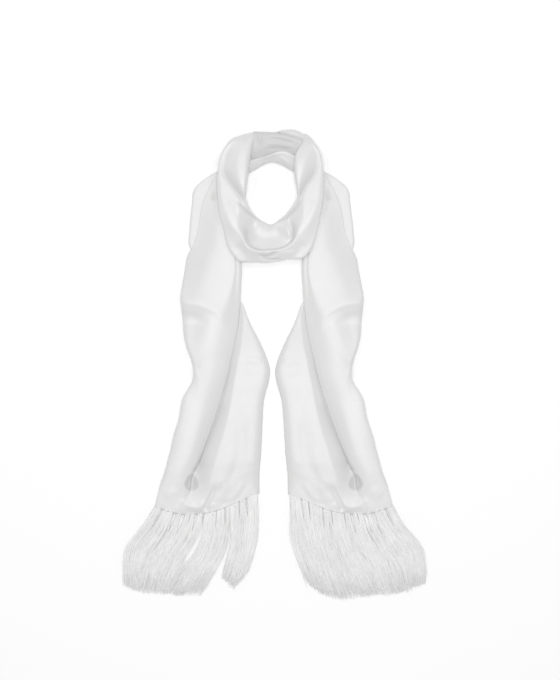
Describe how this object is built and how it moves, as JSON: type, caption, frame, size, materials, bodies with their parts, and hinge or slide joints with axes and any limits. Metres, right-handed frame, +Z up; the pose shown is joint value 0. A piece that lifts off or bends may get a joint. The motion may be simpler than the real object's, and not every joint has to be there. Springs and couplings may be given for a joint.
{
  "type": "opera scarf",
  "caption": "White silk satin scarf laid flat and wound round an open neck hole, its ends pleated lengthwise and edged with long knotted fringe.",
  "frame": {"origin": "middle of the whole scarf's length and width, on the surface that it lies on", "axes": "+Z up from the surface, +Y from the fringes to the neck, +X to the right seen from above"},
  "size_m": [0.4781, 0.7572, 0.0327],
  "materials": {
    "silk_satin": "white silk satin, doubled, soft sheen",
    "silk_fringe": "white silk threads, knotted in tufts along the hem"
  },
  "bodies": {
    "root": {"tail_left": "silk_satin", "tail_right": "silk_satin", "front_loop": "silk_satin", "back_upper": "silk_satin", "back_lower": "silk_satin", "back_outer": "silk_satin", "fringe_left": "silk_fringe", "fringe_right": "silk_fringe"}
  },
  "joints": []
}
